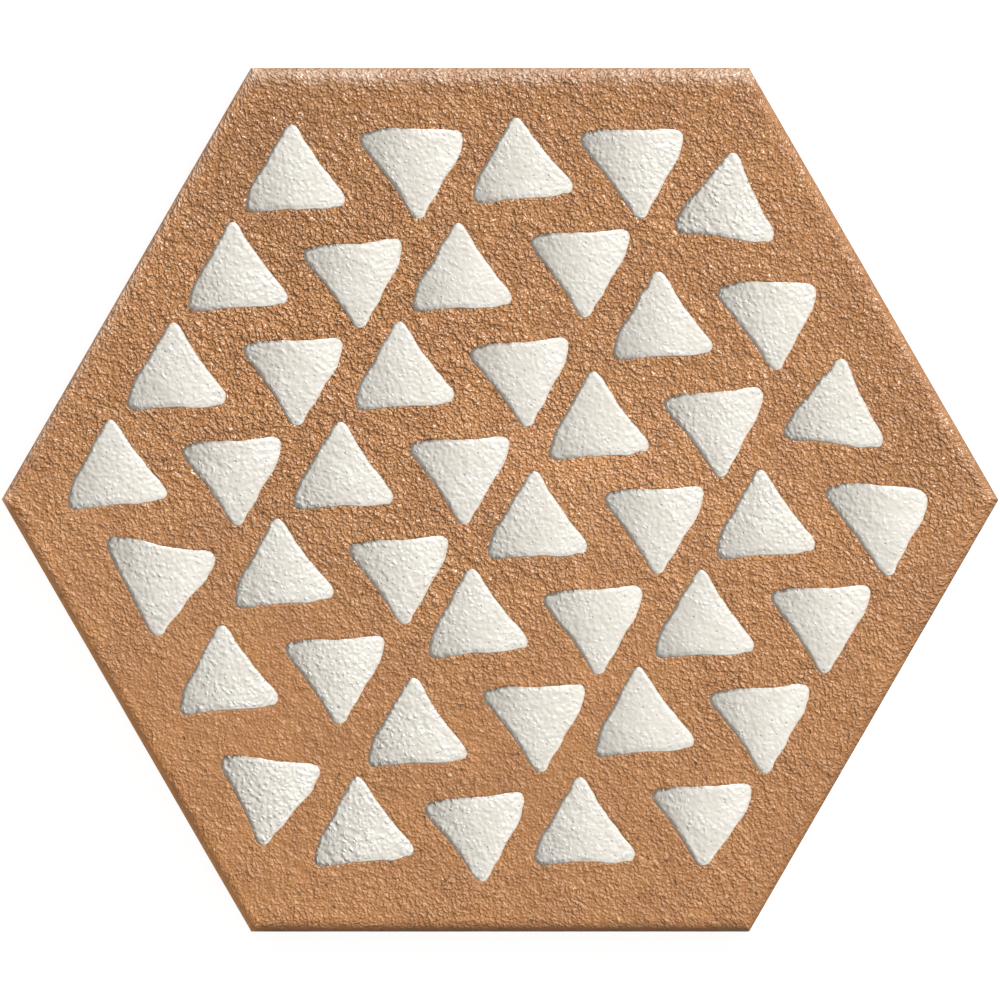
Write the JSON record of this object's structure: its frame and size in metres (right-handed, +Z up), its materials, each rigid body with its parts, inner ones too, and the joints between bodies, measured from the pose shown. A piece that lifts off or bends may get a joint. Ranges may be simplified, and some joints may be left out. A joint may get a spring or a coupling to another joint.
{
  "type": "floor tile",
  "caption": "Hexagonal fired-clay floor tile with a grainy terracotta face and an even pattern of raised white glazed triangles, alternately point up and point down.",
  "frame": {"origin": "centre of the tile's bounding box, at the level of the back that rests on the floor", "axes": "+X across two opposite corners, +Y across two opposite sides towards the edge at the top of the picture, +Z up out of the decorated face"},
  "size_m": [0.2498, 0.2166, 0.0099],
  "materials": {
    "terracotta": "matte",
    "white_glaze": "satin"
  },
  "bodies": {
    "root": {"hexagon_tile": "terracotta"}
  },
  "joints": []
}
